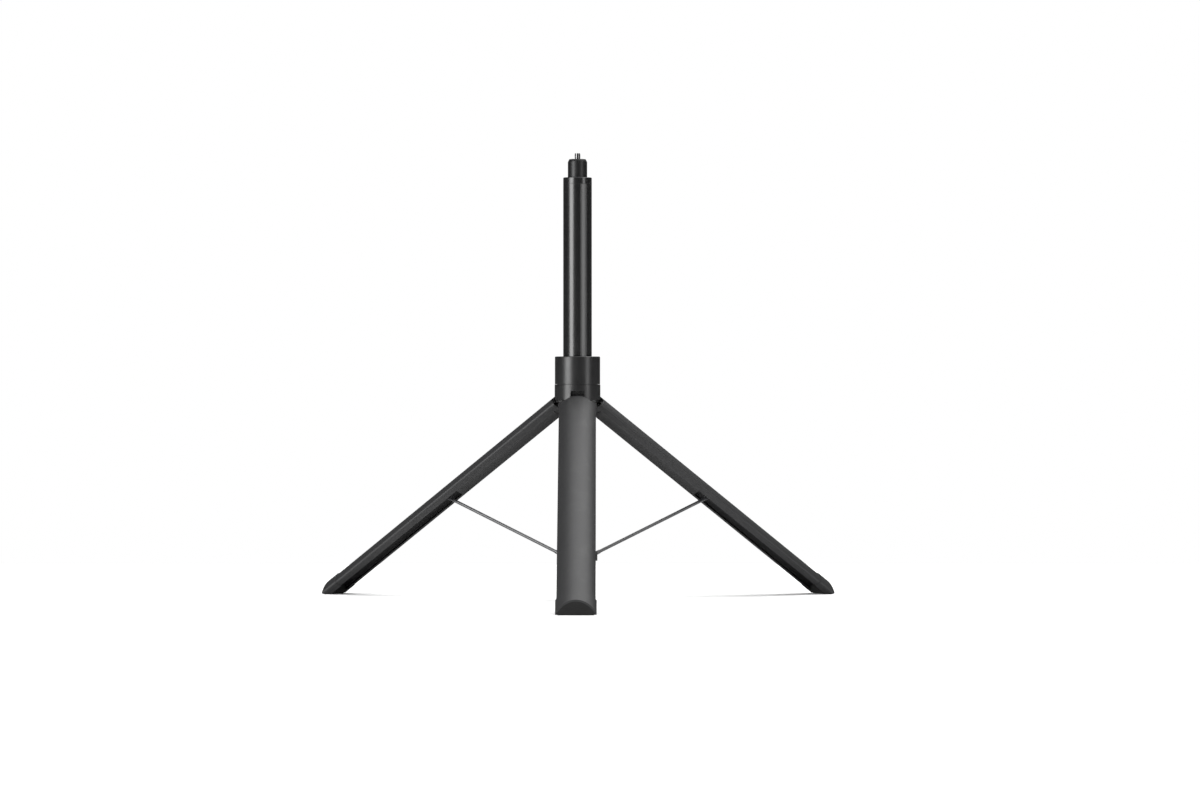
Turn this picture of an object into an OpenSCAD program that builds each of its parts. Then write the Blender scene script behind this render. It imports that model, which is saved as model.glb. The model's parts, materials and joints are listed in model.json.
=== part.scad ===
// Telescopic hand-held pole with a fold-out tripod base.
// Millimetres, +Z up. The origin is on the floor, in the middle of the open legs' footprint,
// and the mast stands behind it.
// Leg 1 points along -Y, leg 2 along +X and +Y, leg 3 along -X and +Y.

/* [Mast] */
// Outer diameter of the mast's outer tube
mast_d = 28.6; // [26:0.2:30]
// Height of the mast's top edge above the floor
mast_top = 422.8; // [400:0.2:440]
// Width of the lengthwise flute that keeps the tubes from twisting
flute_w = 7.6; // [5:0.2:9]
// Turn of the flute from the front, towards the right
flute_turn = 26.5; // [0:0.5:60]
// Wall of the outer tube
mast_wall = 0.9; // [0.8:0.05:1]
// Step in radius from one telescopic section to the next
section_step = 2; // [2:0.05:2.1]

/* [Head] */
// Diameter of the head that the camera screw stands on
head_d = 19.3; // [17:0.1:22]
// Height of the head
head_h = 18.2; // [14:0.1:22]
// Diameter of the camera screw (1/4 inch)
stud_d = 6.35; // [6:0.05:6.5]
// Height of the camera screw above the head
stud_h = 5.9; // [4.5:0.1:7]

/* [Hub] */
// Diameter of the hub's lower ring
hub_d = 45.7; // [45:0.1:47]
// Height of the hub's lower ring
yoke_h = 15.5; // [14:0.1:18]
// Height of the twist lock above it
lock_h = 28; // [27:0.5:32]
// Width of the slot that holds each leg's knuckle
slot_w = 13.6; // [12:0.1:15]

/* [Legs] */
// Angle between an open leg and the mast
leg_tilt = 54.8; // [50:0.1:58]
// Length of a leg from its pivot to the toe
leg_len = 342; // [320:1:360]
// Distance of the leg pivots from the mast's axis
pivot_r = 18; // [17.8:0.1:18.4]
// Wall of the leg channel
leg_wall = 1.6; // [1.2:0.1:2]
// Gap from a leg's side to the plane it shares with the next folded leg
leg_gap = 0.8; // [0.6:0.1:1.2]

/* [Braces] */
// Distance along the leg from its pivot to the brace pivot
brace_at = 171.5; // [165:0.5:180]
// Length of a brace between its pivots
brace_len = 152.8; // [150:0.1:156]
// Diameter of the brace rod
rod_d = 3.2; // [3:0.1:3.6]
// Distance of the brace pins from the mast's axis, at the collar
collar_pin_r = 17; // [16.6:0.1:17.4]

/* [Hidden] */
$fn = 96;
eps = 0.01;

// Fits
run_gap = 0.06;
free_gap = 0.3;

// Mast and telescopic sections: outer radius and wall of each tube, outermost first
mast_r = mast_d / 2;
tube_wall = 0.8;
second_r = mast_r - section_step - 0.1;
tube_r = [mast_r, second_r, second_r - section_step, second_r - 2 * section_step];
tube_t = [mast_wall, tube_wall, tube_wall - 0.1, tube_wall - 0.1];
flute_half = [flute_w / 2, flute_w / 2 - 0.5, flute_w / 2 - 1, flute_w / 2 - 1.5];
flute_bend = 30;
ring_h = 6.4;
sleeve_h = 12;
bush_h = 12;
lip_h = 1.2;

// Legs and hub
hub_r = hub_d / 2;
half_turn = 60;
toe_drop = 6.3;
pin_r = 1.1;
pivot_z = leg_len * cos(leg_tilt) + toe_drop * sin(leg_tilt);
toe_reach = pivot_r + leg_len * sin(leg_tilt) - toe_drop * cos(leg_tilt);
hub_bottom = pivot_z - 1.9;
seam_z = hub_bottom + yoke_h;
slot_h = 9.1;
knuckle_r = 3;
swing_r = 4.8;
leg_in = 15.1;
shell_start = 2.5;
block_start = 3.3;
block_end = 18;
mount_start = 159;
mount_end = 178;
end_wall = 7;
cheek_half = 7.5;
side_wall = 1.8;
channel_r = hub_r - leg_wall;

// Neck and twist lock, heights above the seam
neck_in = mast_r + 1.3;
neck_out = neck_in + 2;
neck_h = 22;
flange_r = 20.5;
flange_h = 1.6;
bush_drop = 4;
screw_at = 18.9;

// Feet
cap_start = 321;
cap_grow = 0.85;
pad_start = 331.8;
pad_inner = 7.7;
pad_proud = 0.6;
foot_half = 19.5;

// The mast's axis, behind the middle of the footprint
mast_y = (toe_reach * (1 - sin(30)) - foot_half * cos(30)) / 2;

// Braces: outer pivot, then the pin at the collar
mount_x = pivot_r + brace_at * sin(leg_tilt);
mount_z = pivot_z - brace_at * cos(leg_tilt);
brace_rise = acos((mount_x - collar_pin_r) / brace_len);
collar_pin_z = mount_z - brace_len * sin(brace_rise);
eye_r = 2.6;
eye_w = 3.6;
rod_slot = 4.2;
collar_top = collar_pin_z + 4;
collar_bottom = collar_pin_z - 5.5;
plug_top = collar_top + 12;

// ---- placing ----

// Moves what is drawn about the mast's axis to where the mast stands
module on_axis() {
  translate([0, mast_y, 0]) children();
}

function leg_azimuth(i) = -90 + (i - 1) * 120;

// Puts a leg drawn folded (mast axis on Z, pivot level at z = 0, leg hanging down) at its open pose
module place_leg(i) {
  rotate([0, 0, leg_azimuth(i)])
    translate([pivot_r, 0, pivot_z])
      rotate([0, -leg_tilt, 0])
        translate([-pivot_r, 0, 0])
          children();
}

// Puts a brace drawn hanging down from its outer pivot at its open pose
module place_brace(i) {
  rotate([0, 0, leg_azimuth(i)])
    translate([mount_x, 0, mount_z])
      rotate([0, 90 - brace_rise, 0])
        children();
}

// A round bar along Y, centred
module cross_bar(r, w) {
  rotate([90, 0, 0]) cylinder(r = r, h = w, center = true);
}

// A block along Y, from x to x + dx and from z to z + dz
module slab(x, dx, w, z, dz) {
  translate([x, -w / 2, z]) cube([dx, w, dz]);
}

// A plain ring standing on z
module ring(r_out, r_in, z, h) {
  translate([0, 0, z])
    difference() {
      cylinder(r = r_out, h = h);
      translate([0, 0, -1]) cylinder(r = r_in, h = h + 2);
    }
}

// ---- flat outlines ----

// One third of a ring, with its two outer corners rounded and a gap to each neighbour's plane
module sector(r_out, r_in, gap, corner) {
  turn = half_turn - asin((gap + corner) / (r_out - corner));
  reach = 2 * r_out;
  middle = (r_out - corner) * [cos(turn), sin(turn)];
  touch = middle + corner * [-sin(half_turn), cos(half_turn)];
  difference() {
    union() {
      intersection() {
        circle(r = r_out);
        polygon([[0, 0], reach * [cos(turn), -sin(turn)], reach * [cos(turn), sin(turn)]]);
      }
      for (side = [0, 1]) {
        mirror([0, side]) {
          translate(middle) circle(r = corner);
          polygon([[gap / sin(half_turn), 0], [r_out / 2, 0], middle, touch]);
        }
      }
    }
    circle(r = r_in);
  }
}

// What lies between the two planes of a third, each moved inwards by inset
module wedge(inset) {
  tip = [inset / sin(half_turn), 0];
  polygon([
    tip, tip + hub_d * [cos(half_turn), -sin(half_turn)],
    tip + hub_d * [cos(half_turn), sin(half_turn)]
  ]);
}

// The space inside a leg's channel, down to radius r_in
module channel(r_in) {
  sector(channel_r, r_in, leg_gap + side_wall, 0.8);
}

// A block in the channel, flat towards the mast, with this half width
module block_outline(half) {
  intersection() {
    channel(0);
    translate([leg_in, -half]) square([hub_r, 2 * half]);
  }
}

// Centre of the flute's bend for a tube of outer radius r
function flute_centre(r, half) = sqrt(r * r - half * half) + sqrt(flute_bend * flute_bend - half * half);

// The outside of fluted tube n, with its flute pushed out by more
module tube_outline(n, grow, more) {
  difference() {
    circle(r = tube_r[n] + grow);
    rotate(-90 + flute_turn)
      translate([flute_centre(tube_r[n], flute_half[n]), 0])
        circle(r = flute_bend + more, $fn = 240);
  }
}

module tube(n, z, h) {
  translate([0, 0, z])
    linear_extrude(h)
      difference() {
        tube_outline(n, 0, 0);
        tube_outline(n, -tube_t[n], tube_t[n]);
      }
}

// A sleeve inside the top of tube n, round inside, that guides the next tube
module guide_sleeve(n) {
  linear_extrude(sleeve_h)
    difference() {
      tube_outline(n, -tube_t[n], tube_t[n]);
      circle(r = tube_r[n + 1] + run_gap);
    }
}

// A slide bush around the bottom of tube n, keyed on the flute of the tube outside it
module slide_bush(n, z) {
  translate([0, 0, z])
    linear_extrude(bush_h)
      difference() {
        tube_outline(n - 1, -tube_t[n - 1] - run_gap, tube_t[n - 1] + run_gap);
        circle(r = tube_r[n]);
      }
}

// ---- hub ----

module hub_yoke() {
  color("#2b2c30") on_axis()
    difference() {
      translate([0, 0, hub_bottom]) cylinder(r = hub_r, h = yoke_h);
      translate([0, 0, hub_bottom - 1]) cylinder(r = mast_r + free_gap, h = yoke_h + 2);
      translate([0, 0, seam_z - bush_drop]) cylinder(r = neck_in, h = bush_drop + 1);
      for (i = [1:3]) {
        rotate([0, 0, leg_azimuth(i)]) {
          slab(mast_r, hub_r, slot_w, hub_bottom - 1, slot_h + 1);
          translate([pivot_r, 0, pivot_z]) cross_bar(pin_r, 22);
        }
        rotate([0, 0, leg_azimuth(i) + 60])
          translate([screw_at, 0, seam_z - 7]) cylinder(r = 1, h = 8);
      }
    }
}

module hub_neck() {
  color("#333438") on_axis()
    difference() {
      union() {
        translate([0, 0, seam_z]) cylinder(r = flange_r, h = flange_h);
        translate([0, 0, seam_z]) cylinder(r = neck_out, h = neck_h);
      }
      translate([0, 0, seam_z - 1]) cylinder(r = neck_in, h = neck_h + 2);
      for (i = [1:3])
        rotate([0, 0, leg_azimuth(i) + 60])
          translate([screw_at, 0, seam_z - 1]) cylinder(r = 1, h = flange_h + 2);
    }
}

module hub_bush() {
  color("#d8d6cf") on_axis() {
    ring(neck_in, mast_r + run_gap, seam_z - bush_drop, neck_h + bush_drop);
    ring(neck_in + 1.2, mast_r + run_gap, seam_z + neck_h, 0.8);
  }
}

module lock_collet() {
  color("#3a3b40") on_axis()
    difference() {
      translate([0, 0, seam_z + neck_h])
        rotate_extrude()
          polygon([[mast_r + 0.25, 1], [17.2, 1], [15.1, 4.5], [mast_r + 0.25, 4.5]]);
      slab(10, 10, 1.5, seam_z + neck_h, 6);
    }
}

module lock_ring() {
  color("#34353a") on_axis()
    translate([0, 0, seam_z])
      rotate_extrude()
        polygon([
          [flange_r + 0.4, 0.25], [hub_r - 0.25, 0.25], [hub_r - 0.25, lock_h - 0.6],
          [hub_r - 0.85, lock_h], [mast_r + 0.6, lock_h], [mast_r + 0.6, lock_h - 1],
          [neck_out + run_gap, neck_h + 1.2], [neck_out + run_gap, 3.4], [flange_r + 0.4, 3.4]
        ]);
}

module hinge_pins() {
  color("#9a9ca0") on_axis()
    for (i = [1:3])
      rotate([0, 0, leg_azimuth(i)])
        translate([pivot_r, 0, pivot_z]) cross_bar(pin_r, 22);
}

module neck_screws() {
  color("#8a8c90") on_axis()
    for (i = [1:3])
      rotate([0, 0, leg_azimuth(i) + 60])
        translate([screw_at, 0, seam_z]) {
          translate([0, 0, -6]) cylinder(r = 1, h = 7);
          translate([0, 0, flange_h]) cylinder(r = 1.2, h = 1.2);
          translate([0, 0, -1]) cylinder(r = 1, h = flange_h + 1.5);
        }
}

// ---- legs ----

// The room that the hub needs at a leg's end, with the leg open and while it folds
module hub_room(i) {
  translate([0, 0, hub_bottom - free_gap]) cylinder(r = hub_r + free_gap, h = yoke_h);
  place_leg(i) translate([pivot_r, 0, 0]) cross_bar(swing_r, 2 * hub_r);
}

// A leg's length of an outline, with room for the hub
module leg_length(i) {
  difference() {
    place_leg(i)
      translate([0, 0, -pad_start]) linear_extrude(pad_start - shell_start) children();
    hub_room(i);
  }
}

// Half of a leg's curved outer wall, from its crest to one side wall
module shell_half(i, side) {
  leg_length(i)
    intersection() {
      sector(hub_r, channel_r, leg_gap, 2);
      wedge(leg_gap + side_wall);
      mirror([0, side]) square(hub_d);
    }
}

module shell_left(i) {
  color("#3c3d42") on_axis() shell_half(i, 1);
}

module shell_right(i) {
  color("#3c3d42") on_axis() shell_half(i, 0);
}

module shell_sides(i) {
  color("#3c3d42") on_axis()
    leg_length(i)
      difference() {
        sector(hub_r, leg_in, leg_gap, 2);
        wedge(leg_gap + side_wall);
      }
}

module hinge_block(i) {
  color("#26272b") on_axis()
    difference() {
      union() {
        difference() {
          place_leg(i)
            translate([0, 0, -block_end]) linear_extrude(block_end - block_start) block_outline(hub_r);
          hub_room(i);
        }
        place_leg(i) {
          translate([pivot_r, 0, 0]) cross_bar(knuckle_r, slot_w - 0.6);
          slab(leg_in, 5, slot_w - 0.6, -8, 8);
        }
      }
      place_leg(i) translate([pivot_r, 0, 0]) cross_bar(pin_r + run_gap, slot_w + 2);
    }
}

// A skin that closes the channel's inner side, with a thick end wall above the brace mount
module leg_liner(i) {
  color("#2e2f33") on_axis()
    place_leg(i)
      translate([0, 0, -mount_start]) {
        linear_extrude(mount_start - block_end)
          sector(leg_in + 1.6, leg_in, leg_gap + side_wall, 0.3);
        linear_extrude(end_wall) channel(leg_in);
      }
}

// Two cheeks that hold the brace pin
module brace_mount(i) {
  color("#222327") on_axis()
    place_leg(i)
      difference() {
        translate([0, 0, -mount_end]) linear_extrude(mount_end - mount_start) block_outline(cheek_half);
        slab(leg_in - 1, hub_r, rod_slot, -mount_end - 1, mount_end - mount_start + 2);
        translate([pivot_r, 0, -brace_at]) cross_bar(pin_r, 2 * cheek_half + 2);
      }
}

module brace_pin(i) {
  color("#9a9ca0") on_axis()
    place_leg(i) translate([pivot_r, 0, -brace_at]) cross_bar(pin_r, 14.6);
}

// Everything above a level and inboard of the toe's upright face
module foot_room(i, level, reach) {
  rotate([0, 0, leg_azimuth(i)])
    translate([200, -40, level]) cube([reach - 200, 80, 80]);
}

module foot_cap(i) {
  color("#4a4b50") on_axis()
    difference() {
      intersection() {
        place_leg(i)
          translate([0, 0, -leg_len - 10])
            linear_extrude(leg_len + 10 - cap_start)
              sector(hub_r + cap_grow, leg_in - 0.4, leg_gap - 0.4, 2);
        foot_room(i, pad_proud, toe_reach);
      }
      place_leg(i) {
        translate([0, 0, -pad_start]) linear_extrude(pad_start) sector(hub_r, 0, leg_gap, 2);
        translate([0, 0, -leg_len - 12]) linear_extrude(leg_len + 12 - pad_start) pad_outline();
      }
    }
}

module pad_outline() {
  intersection() {
    sector(channel_r + 0.9, 0, leg_gap + 0.8, 1);
    translate([pad_inner, -30]) square([30, 60]);
  }
}

module foot_pad(i) {
  color("#1b1b1d") on_axis()
    intersection() {
      place_leg(i)
        translate([0, 0, -leg_len - 12]) linear_extrude(leg_len + 12 - pad_start) pad_outline();
      foot_room(i, 0, toe_reach - 0.3);
    }
}

// ---- braces ----

module brace_rod(i) {
  color("#3a3b3f") on_axis()
    place_brace(i) translate([0, 0, -brace_len + 3]) cylinder(d = rod_d, h = brace_len - 6);
}

module brace_end(bore) {
  difference() {
    union() {
      cross_bar(eye_r, eye_w);
      translate([0, 0, -9]) cylinder(r = 1.95, h = 9);
    }
    cross_bar(bore, eye_w + 2);
    translate([0, 0, -10]) cylinder(d = rod_d, h = 7);
  }
}

module brace_ends(i) {
  color("#515257") on_axis()
    place_brace(i) {
      brace_end(pin_r + run_gap);
      translate([0, 0, -brace_len]) rotate([0, 180, 0]) brace_end(pin_r);
    }
}

module spreader_pin(i) {
  color("#9a9ca0") on_axis()
    place_brace(i) translate([0, 0, -brace_len]) cross_bar(pin_r, 9.6);
}

// ---- mast ----

module mast_tube() {
  color("#1d1e21") on_axis() tube(0, collar_top, mast_top - ring_h - collar_top);
}

module mast_top_ring() {
  color("#222327") on_axis()
    union() {
      translate([0, 0, mast_top - ring_h - sleeve_h]) guide_sleeve(0);
      translate([0, 0, mast_top - ring_h])
        rotate_extrude()
          union() {
            translate([tube_r[1] + run_gap, 0]) square([mast_r - 0.8 - tube_r[1] - run_gap, ring_h]);
            translate([tube_r[1] + run_gap, 0]) square([mast_r - tube_r[1] - run_gap, ring_h - 0.8]);
            translate([mast_r - 0.8, ring_h - 0.8]) circle(r = 0.8, $fn = 32);
          }
    }
}

module brace_collar() {
  pin_path = collar_pin_r + 1.35;
  color("#26272b") on_axis()
    difference() {
      union() {
        translate([0, 0, collar_bottom]) cylinder(r = mast_r, h = collar_top - collar_bottom);
        for (i = [1:3])
          rotate([0, 0, leg_azimuth(i)]) slab(10, 9.8, 11, collar_bottom, collar_top - collar_bottom);
      }
      translate([0, 0, collar_bottom - 1]) cylinder(r = 7, h = 20);
      for (i = [1:3])
        rotate([0, 0, leg_azimuth(i)]) {
          slab(11.5, 12, rod_slot, collar_bottom - 1, 20);
          slab(11.5, pin_path - 11.5, 12, collar_bottom - 1, collar_pin_z - collar_bottom + 1);
          translate([collar_pin_r, 0, collar_pin_z]) cross_bar(1.35, 12);
        }
    }
}

module mast_plug() {
  color("#2b2c30") on_axis()
    difference() {
      union() {
        translate([0, 0, collar_top])
          linear_extrude(plug_top - collar_top) tube_outline(0, -tube_t[0], tube_t[0]);
        translate([0, 0, collar_bottom]) cylinder(r = 7, h = collar_top - collar_bottom + eps);
      }
      translate([0, 0, collar_bottom - 1]) cylinder(r = 4.1, h = 4);
      translate([0, 0, collar_bottom]) cylinder(r = 2, h = 16);
    }
}

module collar_screw() {
  color("#8a8c90") on_axis()
    difference() {
      union() {
        translate([0, 0, collar_bottom + 0.3]) cylinder(r = 3.9, h = 2.7);
        translate([0, 0, collar_bottom + 1]) cylinder(r = 2, h = 14.5);
      }
      translate([0, 0, collar_bottom - 1]) cylinder(r = 1.7, h = 3, $fn = 6);
    }
}

// ---- telescopic sections ----

tube_bottom = [0, 62, 63, 64];
lip_top = [mast_top, mast_top, mast_top - 0.2];

module section_tube(n, top) {
  tube(n, tube_bottom[n], top - tube_bottom[n]);
}

module section_collar(n) {
  translate([0, 0, lip_top[n] - lip_h - sleeve_h]) guide_sleeve(n);
  ring(tube_r[n], tube_r[n + 1] + run_gap, lip_top[n] - lip_h, lip_h);
}

module tube_2() {
  color("#2a2b2f") on_axis() section_tube(1, lip_top[1] - lip_h);
}

module tube_2_collar() {
  color("#1b1c1f") on_axis() section_collar(1);
}

module tube_2_bush() {
  color("#d8d6cf") on_axis() slide_bush(1, tube_bottom[1]);
}

module tube_3() {
  color("#2a2b2f") on_axis() section_tube(2, lip_top[2] - lip_h);
}

module tube_3_collar() {
  color("#1b1c1f") on_axis() section_collar(2);
}

module tube_3_bush() {
  color("#d8d6cf") on_axis() slide_bush(2, tube_bottom[2]);
}

module tube_4() {
  color("#2a2b2f") on_axis() section_tube(3, mast_top + 0.2);
}

module tube_4_bush() {
  color("#d8d6cf") on_axis() slide_bush(3, tube_bottom[3]);
}

// ---- head ----

head_r = head_d / 2;
head_bottom = mast_top + 0.2;
head_top = head_bottom + head_h;
spigot_h = 14;
pad_r = 7.6;
pad_h = 0.6;
shank_r = 2.6;
shank_h = 12;

module top_head() {
  color("#1f2023") on_axis()
    difference() {
      union() {
        translate([0, 0, head_bottom])
          rotate_extrude()
            polygon([
              [0, 0], [head_r, 0], [head_r, head_h - 3], [head_r - 1.3, head_h - 0.3],
              [head_r - 1.6, head_h], [0, head_h]
            ]);
        translate([0, 0, head_bottom - spigot_h])
          linear_extrude(spigot_h + eps) tube_outline(3, -tube_t[3], tube_t[3]);
      }
      translate([0, 0, head_top - shank_h]) cylinder(r = shank_r, h = shank_h + 1);
      ring(pad_r, stud_d / 2 + 0.6, head_top - pad_h, pad_h + 1);
    }
}

module head_pad() {
  color("#151517") on_axis() ring(pad_r, stud_d / 2 + 0.6, head_top - pad_h, pad_h);
}

module top_stud() {
  color("#c9cbd0") on_axis()
    translate([0, 0, head_top - shank_h])
      rotate_extrude()
        polygon([
          [0, 0], [shank_r, 0], [shank_r, shank_h], [stud_d / 2, shank_h],
          [stud_d / 2, shank_h + stud_h - 0.5], [stud_d / 2 - 0.5, shank_h + stud_h],
          [0, shank_h + stud_h]
        ]);
}

hub_yoke();
hub_neck();
hub_bush();
lock_collet();
hinge_pins();
neck_screws();
lock_ring();
shell_left(1);  // shell_left_1
shell_left(2);  // shell_left_2
shell_left(3);  // shell_left_3
shell_right(1);  // shell_right_1
shell_right(2);  // shell_right_2
shell_right(3);  // shell_right_3
shell_sides(1);  // shell_sides_1
shell_sides(2);  // shell_sides_2
shell_sides(3);  // shell_sides_3
hinge_block(1);  // hinge_block_1
hinge_block(2);  // hinge_block_2
hinge_block(3);  // hinge_block_3
leg_liner(1);  // leg_liner_1
leg_liner(2);  // leg_liner_2
leg_liner(3);  // leg_liner_3
brace_mount(1);  // brace_mount_1
brace_mount(2);  // brace_mount_2
brace_mount(3);  // brace_mount_3
brace_pin(1);  // brace_pin_1
brace_pin(2);  // brace_pin_2
brace_pin(3);  // brace_pin_3
foot_cap(1);  // foot_cap_1
foot_cap(2);  // foot_cap_2
foot_cap(3);  // foot_cap_3
foot_pad(1);  // foot_pad_1
foot_pad(2);  // foot_pad_2
foot_pad(3);  // foot_pad_3
brace_rod(1);  // brace_rod_1
brace_rod(2);  // brace_rod_2
brace_rod(3);  // brace_rod_3
brace_ends(1);  // brace_ends_1
brace_ends(2);  // brace_ends_2
brace_ends(3);  // brace_ends_3
spreader_pin(1);  // spreader_pin_1
spreader_pin(2);  // spreader_pin_2
spreader_pin(3);  // spreader_pin_3
mast_tube();
mast_top_ring();
brace_collar();
mast_plug();
collar_screw();
tube_2();
tube_2_collar();
tube_2_bush();
tube_3();
tube_3_collar();
tube_3_bush();
tube_4();
tube_4_bush();
top_head();
head_pad();
top_stud();
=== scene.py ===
"""Looks for a telescopic hand-held pole with a fold-out tripod base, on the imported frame."""

import json
import math

import bmesh
import bpy
from mathutils import Matrix, Vector


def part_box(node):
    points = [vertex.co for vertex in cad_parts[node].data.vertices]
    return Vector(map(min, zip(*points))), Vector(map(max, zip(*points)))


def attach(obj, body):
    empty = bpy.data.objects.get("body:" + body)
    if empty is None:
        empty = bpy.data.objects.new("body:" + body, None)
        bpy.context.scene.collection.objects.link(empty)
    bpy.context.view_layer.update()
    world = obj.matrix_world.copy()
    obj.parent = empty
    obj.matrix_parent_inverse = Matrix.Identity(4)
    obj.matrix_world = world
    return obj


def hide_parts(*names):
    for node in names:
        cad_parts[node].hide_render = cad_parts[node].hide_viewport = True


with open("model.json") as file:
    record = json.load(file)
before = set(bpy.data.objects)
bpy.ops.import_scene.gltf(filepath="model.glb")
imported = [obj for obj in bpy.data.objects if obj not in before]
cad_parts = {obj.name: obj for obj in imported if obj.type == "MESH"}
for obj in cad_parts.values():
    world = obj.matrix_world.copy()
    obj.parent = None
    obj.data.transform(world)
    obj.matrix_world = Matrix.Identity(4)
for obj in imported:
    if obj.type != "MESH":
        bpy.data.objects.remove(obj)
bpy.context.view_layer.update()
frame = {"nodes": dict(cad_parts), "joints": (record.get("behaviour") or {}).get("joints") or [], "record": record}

MM = 0.001
LEGS = (1, 2, 3)
JOINTS = {joint["name"]: joint for joint in frame["joints"]}


# ---------------------------------------------------------------- sizes, from the frame


def width_of(node):
    low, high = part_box(node)
    return high.x - low.x


def middle_of(node):
    low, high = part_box(node)
    return (low + high) / 2


AXIS = middle_of("hub_yoke").to_2d()
HUB_R = width_of("hub_yoke") / 2
HUB_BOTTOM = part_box("hub_yoke")[0].z
LEG_TILT = math.radians(JOINTS["leg_1_fold"]["range_deg"][1])
PIVOT_R = (Vector(JOINTS["leg_1_fold"]["pos_m"]).to_2d() - AXIS).length

# The leg's section, drawn with the leg folded against the mast
HALF_TURN = math.radians(60)
LEG_WALL = 1.6 * MM
LEG_SIDE_WALL = 1.8 * MM
LEG_GAP = 0.8 * MM
LEG_CORNER = 2.0 * MM
CHANNEL_CORNER = 0.8 * MM
LEG_IN_R = 15.1 * MM
SHELL_START = 2.5 * MM
SHELL_END = 331.8 * MM
BLOCK_START = 3.3 * MM
BLOCK_END = 18.0 * MM
HUB_ROOM = 0.3 * MM
SWING_R = 4.8 * MM
SEARCH_STEP = 0.05 * MM
CREST_STEPS = 22

# The curved cover over the hinge block
COVER_WALL = 1.5 * MM
COVER_FIT = 0.02 * MM
COVER_DIP = 0.12 * MM
COVER_TUCK = 0.02
COVER_STEPS = 36

# The level ribs on the rubber feet
RIB_PITCH = 1.7 * MM
RIB_HEIGHT = 0.75 * MM
RIB_DEPTH = 0.5 * MM
RIB_INSET = 0.2 * MM

# The flute down the telescopic tubes
FLUTE_TURN = math.radians(-63.5)
FLUTE_BEND = 30.0 * MM
TUBE_STEPS = 180
FLUTE_STEPS = 14

# The camera screw, a quarter inch across with twenty threads to the inch
THREAD_PITCH = 1.27 * MM
THREAD_SWELL = 0.56
SCREW_CORE_R = 2.45 * MM
SCREW_END = 0.75 * MM
TIP_ROOM = 0.05 * MM
ROUND_STEPS = 64


def leg_place(leg):
    """From the folded leg, the mast's axis on Z and the pivot level with 0, to the open leg."""
    joint = JOINTS[f"leg_{leg}_fold"]
    pivot, axis = Vector(joint["pos_m"]), Vector(joint["axis"])
    out = pivot.to_2d() - AXIS
    open_up = Matrix.Rotation(-LEG_TILT, 4, axis)
    turn = Matrix.Rotation(math.atan2(out.y, out.x), 4, "Z")
    return Matrix.Translation(pivot) @ open_up @ turn @ Matrix.Translation((-PIVOT_R, 0, 0))


# ---------------------------------------------------------------- node graphs


class Signal:
    """An output socket of a graph; arithmetic on it adds Math nodes."""

    def __init__(self, graph, socket):
        self.graph = graph
        self.socket = socket

    def _math(self, operation, first, second):
        return self.graph.node("ShaderNodeMath", {"operation": operation}, {0: first, 1: second})

    def __add__(self, other):
        return self._math("ADD", self, other)

    def __radd__(self, other):
        return self._math("ADD", other, self)

    def __sub__(self, other):
        return self._math("SUBTRACT", self, other)

    def __rsub__(self, other):
        return self._math("SUBTRACT", other, self)

    def __mul__(self, other):
        return self._math("MULTIPLY", self, other)

    def __rmul__(self, other):
        return self._math("MULTIPLY", other, self)

    def __pow__(self, other):
        return self._math("POWER", self, other)


class Graph:
    """A node tree under construction."""

    def __init__(self, tree):
        self.tree = tree

    def node(self, kind, settings=None, inputs=None, output=0):
        made = self.tree.nodes.new(kind)
        for key, value in (settings or {}).items():
            setattr(made, key, value)
        for key, value in (inputs or {}).items():
            self.feed(made.inputs[key], value)
        return Signal(self, made.outputs[output])

    def feed(self, socket, value):
        if isinstance(value, Signal):
            self.tree.links.new(value.socket, socket)
        else:
            socket.default_value = value


class Growth(Graph):
    """A Geometry Nodes tree with named sizes, which ends as one plain mesh."""

    def __init__(self, name, **sizes):
        super().__init__(bpy.data.node_groups.new(name, "GeometryNodeTree"))
        face = self.tree.interface
        self.sizes = {}
        for size, value in sizes.items():
            kind = "NodeSocketInt" if isinstance(value, int) else "NodeSocketFloat"
            socket = face.new_socket(size, in_out="INPUT", socket_type=kind)
            self.sizes[socket.identifier] = value
        face.new_socket("Geometry", in_out="OUTPUT", socket_type="NodeSocketGeometry")
        given = self.tree.nodes.new("NodeGroupInput").outputs
        self.given = {size: Signal(self, given[size]) for size in sizes}

    def together(self, *parts):
        made = self.tree.nodes.new("GeometryNodeJoinGeometry")
        for part in parts:
            self.feed(made.inputs[0], part)
        return Signal(self, made.outputs[0])

    def grown(self, geometry, material):
        """The geometry as a new object's plain mesh."""
        real = self.node("GeometryNodeRealizeInstances", {}, {"Geometry": geometry})
        inputs = {"Geometry": real, "Material": material}
        painted = self.node("GeometryNodeSetMaterial", {}, inputs)
        self.feed(self.tree.nodes.new("NodeGroupOutput").inputs[0], painted)
        made = piece(self.tree.name, [], [])
        nodes = made.modifiers.new("nodes", "NODES")
        nodes.node_group = self.tree
        for identifier, value in self.sizes.items():
            nodes[identifier] = value
        return settle(made)


# ---------------------------------------------------------------- meshes


def piece(name, points, faces, place=None):
    """A new object from points and faces, its faces made to look outwards."""
    mesh = bpy.data.meshes.new(name)
    mesh.from_pydata([tuple(p) for p in points], [], faces)
    made = bpy.data.objects.new(name, mesh)
    bpy.context.scene.collection.objects.link(made)
    shape = bmesh.new()
    shape.from_mesh(mesh)
    bmesh.ops.recalc_face_normals(shape, faces=shape.faces)
    shape.to_mesh(mesh)
    shape.free()
    if place is not None:
        mesh.transform(place)
    return made


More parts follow.
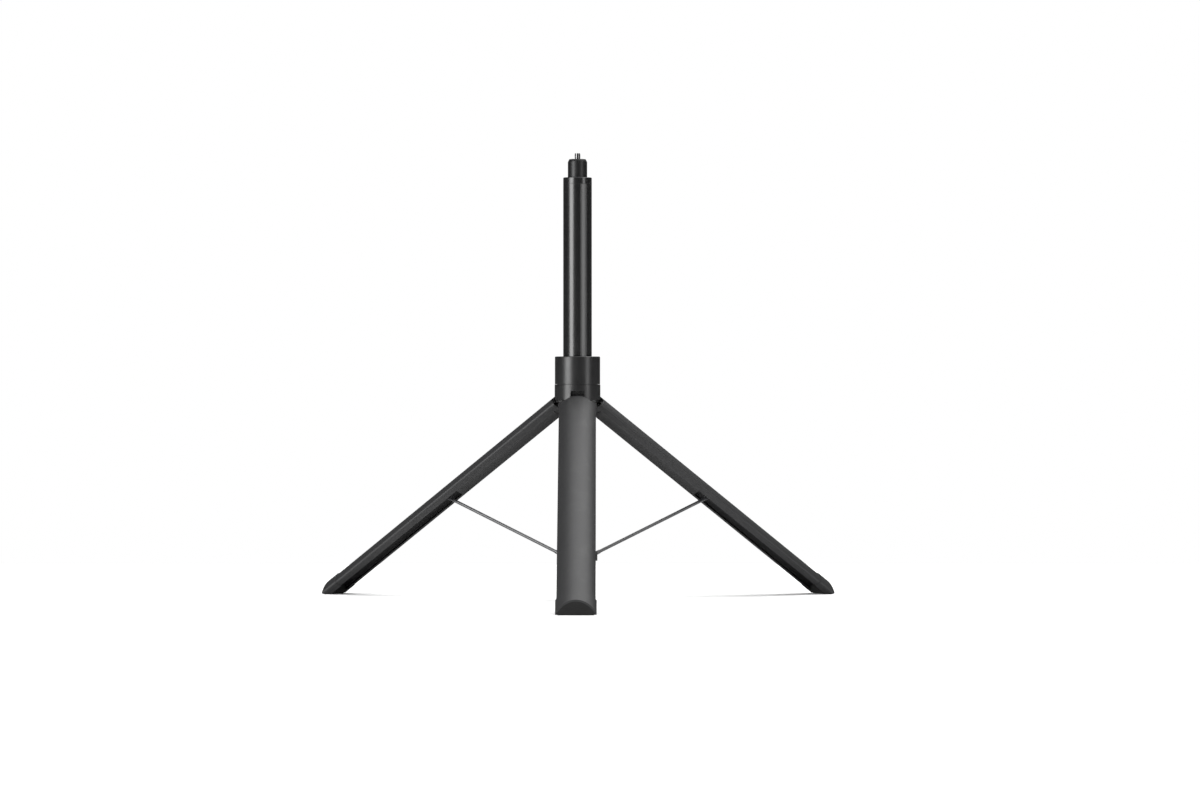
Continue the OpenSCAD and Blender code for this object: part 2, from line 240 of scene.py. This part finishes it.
def copy_of(node, name):
    """A copy of a CAD node with its loose triangles joined up and its flat faces made whole."""
    made = bpy.data.objects.new(name, frame["nodes"][node].data.copy())
    bpy.context.scene.collection.objects.link(made)
    shape = bmesh.new()
    shape.from_mesh(made.data)
    bmesh.ops.remove_doubles(shape, verts=shape.verts, dist=0.002 * MM)
    bmesh.ops.dissolve_limit(
        shape, angle_limit=math.radians(0.6), verts=shape.verts, edges=shape.edges
    )
    shape.to_mesh(made.data)
    shape.free()
    return made


def settle(made):
    """Turns live modifiers into plain mesh."""
    graph = bpy.context.evaluated_depsgraph_get()
    mesh = bpy.data.meshes.new_from_object(made.evaluated_get(graph), depsgraph=graph)
    made.modifiers.clear()
    made.data = mesh
    return made


def round_edges(made, width, segments=2, degrees=32):
    bevel = made.modifiers.new("edges", "BEVEL")
    bevel.width = width
    bevel.segments = segments
    bevel.limit_method = "ANGLE"
    bevel.angle_limit = math.radians(degrees)
    return settle(made)


def shade(made, sharp_degrees=34):
    """Smooth shading led by the large faces, with creases kept beyond the given angle."""
    shape = bmesh.new()
    shape.from_mesh(made.data)
    limit = math.radians(sharp_degrees)
    for face in shape.faces:
        face.smooth = True
    for edge in shape.edges:
        edge.smooth = len(edge.link_faces) == 2 and edge.calc_face_angle(0) < limit
    shape.to_mesh(made.data)
    shape.free()
    flat = made.modifiers.new("normals", "WEIGHTED_NORMAL")
    flat.keep_sharp = True
    flat.weight = 100
    return settle(made)


def softened(node, name, edge):
    return shade(round_edges(copy_of(node, name), edge))


def joined(name, parts):
    """One object from several, all placed in their meshes."""
    shape = bmesh.new()
    for part in parts:
        shape.from_mesh(part.data)
        bpy.data.objects.remove(part)
    mesh = bpy.data.meshes.new(name)
    shape.to_mesh(mesh)
    shape.free()
    made = bpy.data.objects.new(name, mesh)
    bpy.context.scene.collection.objects.link(made)
    return made


def dress(made, body, slot, *nodes, finish=None):
    """Gives a piece its finish and its body, and hides the CAD nodes it stands for."""
    made.data.materials.clear()
    made.data.materials.append(FINISHES[finish or slot])
    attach(made, body)
    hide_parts(*nodes)
    return made


# ---------------------------------------------------------------- outlines


def arc(middle, radius, start, end, steps):
    """Points from angle start to angle end, both ends included."""
    turns = [start + (end - start) * i / steps for i in range(steps + 1)]
    return [middle + radius * Vector((math.cos(t), math.sin(t))) for t in turns]


def straight(start, end, steps):
    return [start.lerp(end, i / steps) for i in range(steps + 1)]


def sector_side(outer_r, inner_r, gap, corner):
    """Half of a leg's outline, from the inner edge up its side and round to the crest."""
    turn = HALF_TURN - math.asin((gap + corner) / (outer_r - corner))
    middle = (outer_r - corner) * Vector((math.cos(turn), math.sin(turn)))
    touch = middle + corner * Vector((-math.sin(HALF_TURN), math.cos(HALF_TURN)))
    edge_turn = HALF_TURN - math.asin(gap / inner_r)
    inner_edge = inner_r * Vector((math.cos(edge_turn), math.sin(edge_turn)))
    points = straight(inner_edge, touch, 5)
    points += arc(middle, corner, HALF_TURN + math.pi / 2, turn, 8)[1:]
    points += arc(Vector((0, 0)), outer_r, turn, 0, CREST_STEPS)[1:]
    return points


def mirrored(points):
    """The outline of both halves, from one inner edge over the crest to the other."""
    return points[:-1] + [Vector((p.x, -p.y)) for p in reversed(points)]


# ---------------------------------------------------------------- legs


def clear_start(point, start, place):
    """How far down the leg a skin begins at one point of its outline, clear of the hub."""
    down = start
    while True:
        spot = place @ Vector((point.x, point.y, -down))
        in_hub = (spot.to_2d() - AXIS).length < HUB_R + HUB_ROOM
        in_hub = in_hub and spot.z > HUB_BOTTOM - HUB_ROOM
        in_swing = math.hypot(point.x - PIVOT_R, down) < SWING_R
        if not (in_hub or in_swing):
            return down
        down += SEARCH_STEP


def leg_skin(name, leg, outer, inner, start, end):
    """A skin between two outlines of as many points, run down the leg, clear of the hub."""
    place = leg_place(leg)
    points, count = [], len(outer)
    for p in outer + inner:
        points += [Vector((p.x, p.y, -clear_start(p, start, place))), Vector((p.x, p.y, -end))]
    faces = []
    for i in range(count - 1):
        a, b = 2 * i, 2 * (i + 1)
        c, d = a + 2 * count, b + 2 * count
        faces += [(a, b, b + 1, a + 1), (c, c + 1, d + 1, d)]
        faces += [(a, c, d, b), (a + 1, b + 1, d + 1, c + 1)]
    for i in (0, count - 1):
        a, c = 2 * i, 2 * i + 2 * count
        faces.append((a, a + 1, c + 1, c))
    return piece(name, points, faces, place)


def make_shell(leg):
    """The curved channel of a leg."""
    inner_gap = LEG_GAP + LEG_SIDE_WALL
    outer = mirrored(sector_side(HUB_R, LEG_IN_R, LEG_GAP, LEG_CORNER))
    inner = mirrored(sector_side(HUB_R - LEG_WALL, LEG_IN_R, inner_gap, CHANNEL_CORNER))
    made = leg_skin(f"leg_{leg}_channel", leg, outer, inner, SHELL_START, SHELL_END)
    shade(round_edges(made, 0.3 * MM))
    walls = [f"shell_{side}_{leg}" for side in ("left", "right", "sides")]
    return dress(made, f"leg_{leg}", "leg_plastic", *walls)


def make_hinge_end(leg):
    """The hinge block with the curved cover that closes the channel's end."""
    inner_gap = LEG_GAP + LEG_SIDE_WALL
    cover_r = LEG_IN_R + COVER_FIT
    edge = HALF_TURN - math.asin(inner_gap / cover_r)
    tuck = edge - COVER_TUCK
    under = arc(Vector((0, 0)), cover_r + COVER_WALL, tuck, -tuck, COVER_STEPS)
    over = arc(Vector((0, 0)), cover_r - COVER_DIP, edge, -edge, COVER_STEPS)
    cover = leg_skin("cover", leg, under, over, BLOCK_START, BLOCK_END - 0.5 * MM)
    shade(round_edges(cover, 0.25 * MM))
    block = softened(f"hinge_block_{leg}", "block", 0.3 * MM)
    made = joined(f"leg_{leg}_hinge_end", [cover, block])
    return dress(made, f"leg_{leg}", "inner_plastic", f"hinge_block_{leg}")


def make_pad(leg):
    """The rubber foot, with level ribs across its upright face that keep inside the face's arch."""
    out = Vector(JOINTS[f"leg_{leg}_fold"]["pos_m"]).to_2d() - AXIS
    facing = Matrix.Rotation(math.atan2(out.y, out.x), 4, "Z")
    toe = AXIS.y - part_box("foot_pad_1")[0].y
    place = Matrix.Translation(AXIS.to_3d()) @ facing @ Matrix.Translation((toe, 0, 0))
    sole = (leg_place(leg).inverted() @ place @ Vector((0, 0, 0))).x
    arch_r = HUB_R - LEG_WALL - RIB_INSET
    count = int((arch_r - sole) / math.sin(LEG_TILT) / RIB_PITCH)
    sizes = {"Count": count, "Pitch": RIB_PITCH, "Rib": RIB_HEIGHT, "Arch": arch_r, "Sole": sole}
    ribs = Growth(f"foot_{leg}_ribs", **sizes)
    given = ribs.given
    step = ribs.node("ShaderNodeCombineXYZ", {}, {"Z": given["Pitch"]})
    inputs = {"Count": given["Count"], "Start Location": step, "Offset": step}
    rows = ribs.node("GeometryNodeMeshLine", {"mode": "OFFSET"}, inputs)
    spot = ribs.node("GeometryNodeInputPosition")
    height = ribs.node("ShaderNodeSeparateXYZ", {}, {0: spot}, "Z")
    depth = given["Sole"] + math.sin(LEG_TILT) * height
    width = 2 * (given["Arch"] ** 2 - depth**2) ** 0.5
    size = ribs.node("ShaderNodeCombineXYZ", {}, {"X": RIB_DEPTH, "Y": width, "Z": given["Rib"]})
    bar = ribs.node("GeometryNodeMeshCube", {}, {"Size": (1, 1, 1)})
    inputs = {"Points": rows, "Instance": bar, "Scale": size}
    made = ribs.grown(ribs.node("GeometryNodeInstanceOnPoints", {}, inputs), FINISHES["rubber"])
    made.data.transform(place)
    made = joined(f"foot_{leg}_tread", [made, softened(f"foot_pad_{leg}", "pad", 0.3 * MM)])
    return dress(made, f"leg_{leg}", "rubber", f"foot_pad_{leg}")


def make_legs():
    for leg in LEGS:
        make_shell(leg)
        make_hinge_end(leg)
        make_pad(leg)
        for node, slot, edge in (
            ("foot_cap", "leg_plastic", 0.25 * MM),
            ("brace_mount", "inner_plastic", 0.3 * MM),
            ("leg_liner", "inner_plastic", 0.2 * MM),
        ):
            made = softened(f"{node}_{leg}", f"{node}_{leg}_piece", edge)
            dress(made, f"leg_{leg}", slot, f"{node}_{leg}")


# ---------------------------------------------------------------- hub, mast and head


def fluted_outline(radius, half, inward):
    """A tube's outline, moved inwards, starting at one lip of its flute."""
    reach = math.sqrt(radius**2 - half**2) + math.sqrt(FLUTE_BEND**2 - half**2)
    round_r, bend_r = radius - inward, FLUTE_BEND + inward
    lip = math.acos((round_r**2 + reach**2 - bend_r**2) / (2 * round_r * reach))
    bend = math.acos((bend_r**2 + reach**2 - round_r**2) / (2 * bend_r * reach))
    points = arc(Vector((0, 0)), round_r, lip, 2 * math.pi - lip, TUBE_STEPS)
    flute = arc(Vector((reach, 0)), bend_r, math.pi + bend, math.pi - bend, FLUTE_STEPS)
    points += flute[1:-1]
    turn = Matrix.Rotation(FLUTE_TURN, 2)
    return [AXIS + turn @ p for p in points]


def make_tube(node, name, body, slot, half, wall):
    """A fluted tube as long as its node, with its rims eased."""
    low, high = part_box(node)
    radius = width_of(node) / 2
    outer = fluted_outline(radius, half, 0)
    inner = fluted_outline(radius, half, wall)
    count = len(outer)
    points = [p.to_3d() + Vector((0, 0, z)) for z in (low.z, high.z) for p in outer + inner]
    faces = []
    for i in range(count):
        j = (i + 1) % count
        a, b, c, d = i, j, i + count, j + count
        up = 2 * count
        faces += [(a, b, b + up, a + up), (d, c, c + up, d + up)]
        faces += [(c, d, b, a), (a + up, b + up, d + up, c + up)]
    made = piece(name, points, faces)
    shade(round_edges(made, 0.15 * MM, 1, 50), 16)
    return dress(made, body, slot, node)


def make_stud():
    """The camera screw: a plain core with a helical thread round it."""
    low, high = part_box("top_stud")
    head_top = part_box("top_head")[1].z
    turns = (high.z - head_top - 2 * SCREW_END) / THREAD_PITCH
    tip = width_of("top_stud") / 2 - TIP_ROOM
    stud = Growth("stud_thread", Core=SCREW_CORE_R, Tip=tip, Pitch=THREAD_PITCH, Turns=turns)
    given = stud.given
    inputs = {"Vertices": ROUND_STEPS, "Radius": given["Core"], "Depth": high.z - low.z}
    core = stud.node("GeometryNodeMeshCylinder", {}, inputs)
    ridge_r = given["Pitch"] * THREAD_SWELL
    run_r = given["Tip"] - ridge_r
    inputs = {"Resolution": ROUND_STEPS, "Rotations": given["Turns"], "Start Radius": run_r}
    inputs |= {"End Radius": run_r, "Height": given["Pitch"] * given["Turns"]}
    run = stud.node("GeometryNodeCurveSpiral", {}, inputs)
    level = stud.node("GeometryNodeSetCurveNormal", {"mode": "Z_UP"}, {"Curve": run})
    inputs = {"Resolution": 3, "Radius": ridge_r}
    ridge = stud.node("GeometryNodeCurvePrimitiveCircle", {"mode": "RADIUS"}, inputs)
    inputs = {"Curve": level, "Profile Curve": ridge, "Fill Caps": True}
    thread = stud.node("GeometryNodeCurveToMesh", {}, inputs)
    start = head_top + SCREW_END
    up = (0, 0, (high.z + low.z) / 2 - start)
    core = stud.node("GeometryNodeTransform", {}, {"Geometry": core, "Translation": up})
    made = stud.grown(stud.together(core, thread), FINISHES["stud_metal"])
    made.data.transform(Matrix.Translation((AXIS.x, AXIS.y, start)))
    return dress(shade(made), "section_4", "stud_metal", "top_stud")


def make_mast():
    make_tube("mast_tube", "mast_outer_tube", "mast", "black_tube", 3.8 * MM, 0.9 * MM)
    for number, half, wall in ((2, 3.3, 0.8), (3, 2.8, 0.7), (4, 2.3, 0.7)):
        name = f"telescope_tube_{number}"
        make_tube(f"tube_{number}", name, f"section_{number}", "inner_tube", half * MM, wall * MM)
    for node, body, slot, finish, edge in (
        ("mast_top_ring", "mast", "inner_plastic", "black_tube", 0.2 * MM),
        ("brace_collar", "mast", "inner_plastic", None, 0.25 * MM),
        ("hub_yoke", "hub", "hub_plastic", None, 0.3 * MM),
        ("lock_ring", "lock_ring", "hub_plastic", None, 0.3 * MM),
        ("top_head", "section_4", "hub_plastic", "head_plastic", 0.25 * MM),
    ):
        dress(softened(node, f"{node}_piece", edge), body, slot, node, finish=finish)
    make_stud()


# ---------------------------------------------------------------- materials


class Finish(Graph):
    """A material under construction, with one Principled shader."""

    def __init__(self, name):
        self.material = bpy.data.materials.new(name)
        self.material.use_nodes = True
        super().__init__(self.material.node_tree)
        self.shader = next(n for n in self.tree.nodes if n.type == "BSDF_PRINCIPLED")
        self.place = self.node("ShaderNodeTexCoord", output="Object")

    def set(self, **values):
        for key, value in values.items():
            self.feed(self.shader.inputs[key.replace("_", " ")], value)

    def stretched(self, scale):
        return self.node("ShaderNodeMapping", {}, {"Vector": self.place, "Scale": scale})

    def noise(self, scale, detail=3.0, roughness=0.55, where=None):
        inputs = {"Scale": scale, "Detail": detail, "Roughness": roughness}
        inputs["Vector"] = where or self.place
        return self.node("ShaderNodeTexNoise", {"noise_dimensions": "3D"}, inputs, "Fac")

    def cells(self, scale):
        inputs = {"Vector": self.place, "Scale": scale}
        return self.node("ShaderNodeTexVoronoi", {"feature": "F1"}, inputs, "Distance")

    def ramp(self, value, low, high):
        """0 below low, 1 above high, straight in between."""
        inputs = {"Value": value, "From Min": low, "From Max": high}
        return self.node("ShaderNodeMapRange", {"clamp": True}, inputs)

    def blend(self, amount, first, second):
        """A colour between first and second."""
        inputs = {0: amount, 6: first, 7: second}
        return self.node("ShaderNodeMix", {"data_type": "RGBA"}, inputs, 2)

    def bump(self, height, strength, depth):
        inputs = {"Height": height, "Strength": strength, "Distance": depth}
        return self.node("ShaderNodeBump", {}, inputs)


COOL = (0.98, 0.99, 1.06)
PLAIN = (1.0, 1.0, 1.0)
DUSTY = (1.0, 0.98, 0.95)


def grey(value, tint=PLAIN):
    return (value * tint[0], value * tint[1], value * tint[2], 1.0)


def anodised(name, tone, roughness):
    """Black anodised aluminium tube: drawn lines along the tube and a faint bloom in the dye."""
    finish = Finish(name)
    drawn = finish.noise(1.0, 4.0, 0.6, finish.stretched((3200, 3200, 18)))
    bloom = finish.noise(38, 2.0)
    finish.set(
        Base_Color=finish.blend(bloom, grey(tone * 0.8, COOL), grey(tone * 1.25, COOL)),
        Roughness=roughness + 0.08 * (drawn - 0.5) + 0.05 * (bloom - 0.5),
        Normal=finish.bump(drawn, 0.06, 0.02 * MM),
        IOR=1.45,
    )
    return finish.material


def moulded(name, tone, roughness, relief=0.2, index=1.45):
    """Spark-textured moulded nylon: a fine even grain, flow marks and slight handling shine."""
    finish = Finish(name)
    pits = finish.cells(2600)
    flow = finish.noise(26, 3.0)
    rubbed = finish.ramp(finish.noise(60, 4.0, 0.7), 0.5, 0.72)
    speck = finish.noise(1300, 2.0)
    mottle = 0.5 * flow + 0.5 * speck
    finish.set(
        Base_Color=finish.blend(mottle, grey(tone * 0.85, COOL), grey(tone * 1.15, COOL)),
        Roughness=roughness + 0.06 * (speck - 0.5) - 0.05 * rubbed,
        Normal=finish.bump(pits + 0.5 * speck, relief, 0.05 * MM),
        IOR=index,
    )
    return finish.material


def rubbery(name, tone):
    """Moulded rubber: dull, faintly dusty and pitted."""
    finish = Finish(name)
    pits = finish.noise(1800, 4.0, 0.7)
    dust = finish.ramp(finish.noise(120, 5.0, 0.7), 0.5, 0.75)
    finish.set(
        Base_Color=finish.blend(dust, grey(tone), grey(tone * 2.2, DUSTY)),
        Roughness=0.78 + 0.12 * dust,
        Normal=finish.bump(pits, 0.35, 0.08 * MM),
        IOR=1.38,
    )
    return finish.material


def lacquered(name, tone):
    """Dark lacquer on steel rod: smooth with a light orange peel."""
    finish = Finish(name)
    peel = finish.noise(900, 2.0, 0.5)
    wear = finish.ramp(finish.noise(240, 5.0, 0.75), 0.66, 0.74)
    finish.set(
        Base_Color=finish.blend(wear, grey(tone, COOL), grey(tone * 2.6)),
        Roughness=0.36 + 0.1 * (peel - 0.5) + 0.1 * wear,
        Normal=finish.bump(peel, 0.15, 0.05 * MM),
        IOR=1.5,
    )
    return finish.material


def bright(name, tone, roughness):
    """Turned and plated metal with fine rings."""
    finish = Finish(name)
    rings = finish.noise(1.0, 3.0, 0.6, finish.stretched((300, 300, 9000)))
    stain = finish.noise(420, 3.0)
    finish.set(
        Base_Color=finish.blend(stain, grey(tone * 0.86), grey(tone)),
        Metallic=1.0,
        Roughness=roughness + 0.12 * (rings - 0.5) + 0.06 * stain,
        Normal=finish.bump(rings, 0.12, 0.01 * MM),
    )
    return finish.material


def acetal(name):
    """Natural acetal slide bushes, slightly translucent white with turning marks."""
    finish = Finish(name)
    rings = finish.noise(1.0, 2.0, 0.6, finish.stretched((200, 200, 5000)))
    cloud = finish.noise(160, 3.0)
    finish.set(
        Base_Color=finish.blend(cloud, (0.66, 0.65, 0.6, 1), (0.76, 0.75, 0.71, 1)),
        Roughness=0.4 + 0.1 * (rings - 0.5),
        Normal=finish.bump(rings, 0.1, 0.02 * MM),
        IOR=1.48,
    )
    return finish.material


FINISHES = {
    "black_tube": anodised("black_anodised_tube", 0.003, 0.26),
    "inner_tube": anodised("dark_anodised_tube", 0.025, 0.3),
    "hub_plastic": moulded("hub_nylon", 0.003, 0.34, relief=0.08, index=1.4),
    "leg_plastic": moulded("leg_nylon", 0.007, 0.56),
    "inner_plastic": moulded("inner_nylon", 0.005, 0.58),
    "head_plastic": moulded("head_nylon", 0.002, 0.42, relief=0.06, index=1.33),
    "bush_plastic": acetal("bush_acetal"),
    "rubber": rubbery("foot_rubber", 0.003),
    "painted_steel": lacquered("rod_lacquer", 0.03),
    "pin_steel": bright("pin_steel", 0.55, 0.3),
    "stud_metal": bright("stud_plating", 0.11, 0.2),
}


def finish_nodes():
    """Every CAD node takes the finish of its record slot."""
    for part in frame["record"]["subparts"]:
        mesh = frame["nodes"][part["node"]].data
        mesh.materials.clear()
        mesh.materials.append(FINISHES[part["material_slot"]])


# ---------------------------------------------------------------- studio


def from_axis(x, y, z):
    return Vector((AXIS.x + x, AXIS.y + y, z))


def aim(thing, target):
    toward = target - thing.location
    thing.rotation_euler = toward.to_track_quat("-Z", "Y").to_euler()


def soft_box(name, place, target, width, height, radiance):
    lamp = bpy.data.lights.new(name, "AREA")
    lamp.shape = "RECTANGLE"
    lamp.size, lamp.size_y = width, height
    lamp.energy = radiance * math.pi * width * height
    made = bpy.data.objects.new(name, lamp)
    bpy.context.scene.collection.objects.link(made)
    made.location = place
    aim(made, target)


def side_box(name, degrees, away, width, height, radiance):
    """A soft box standing this far round from the camera's side, positive to the right."""
    turn = math.radians(degrees)
    place = from_axis(away * math.sin(turn), -away * math.cos(turn), 0.75)
    soft_box(name, place, from_axis(0, 0, 0.3), width, height, radiance)


def make_studio():
    paper = Finish("floor_paper")
    away = paper.node("ShaderNodeVectorMath", {"operation": "LENGTH"}, {0: paper.place}, "Value")
    # Painted shade: the paper is darker within 2 m of the origin, where the tripod stands, to stand for the shade
    # around and under it; the added noise is a random mottle of the paper itself.
    tone = 0.8 * paper.ramp(away, 0.5, 2.0) + 0.2 * paper.noise(6, 2.0)
    # Painted light: beyond 0.9 m the floor glows of its own, fully at 1.8 m, so that it meets the white surround
    # without an edge.
    glow = paper.blend(paper.ramp(away, 0.9, 1.8), grey(0), grey(1))
    paper.set(Base_Color=paper.blend(tone, grey(0.8), grey(0.99)), Roughness=0.9)
    paper.set(Emission_Color=glow, Emission_Strength=1.0)
    corners = [from_axis(x, y, -0.1 * MM) for x, y in ((-2, -2.3), (2, -2.3), (2, 0.9), (-2, 0.9))]
    floor = piece("floor", corners, [(0, 1, 2, 3)])
    floor.data.materials.append(paper.material)

    side_box("left_box", -50, 2.0, 1.1, 1.6, 13)
    side_box("right_box", 53, 2.0, 0.5, 1.6, 7)
    soft_box("top_box", from_axis(0.55, 0.35, 2.3), from_axis(0, 0.1, 0), 2.6, 2.6, 4.7)

    world = bpy.data.worlds.new("studio")
    world.use_nodes = True
    bpy.context.scene.world = world
    tree = world.node_tree
    background = next(n for n in tree.nodes if n.type == "BACKGROUND")
    background.inputs["Color"].default_value = (1, 1, 1, 1)
    rays = tree.nodes.new("ShaderNodeLightPath")
    strength = tree.nodes.new("ShaderNodeMapRange")
    strength.inputs["To Min"].default_value = 0.12
    strength.inputs["To Max"].default_value = 1.0
    tree.links.new(rays.outputs["Is Camera Ray"], strength.inputs["Value"])
    tree.links.new(strength.outputs[0], background.inputs["Strength"])
    bpy.context.scene.view_settings.view_transform = "Standard"


def make_camera():
    """A long lens at hub height, almost level and almost square to the front leg."""
    aside, away, height, drop = 0.0225, 4.308, 0.2068, 0.0064
    lens = bpy.data.cameras.new("camera")
    lens.sensor_width = 36
    lens.lens = 129.2
    camera = bpy.data.objects.new("camera", lens)
    bpy.context.scene.collection.objects.link(camera)
    camera.location = from_axis(aside, -away, height)
    aim(camera, from_axis(aside, 0, height - drop))
    bpy.context.scene.camera = camera


finish_nodes()
make_legs()
make_mast()
make_studio()
make_camera()
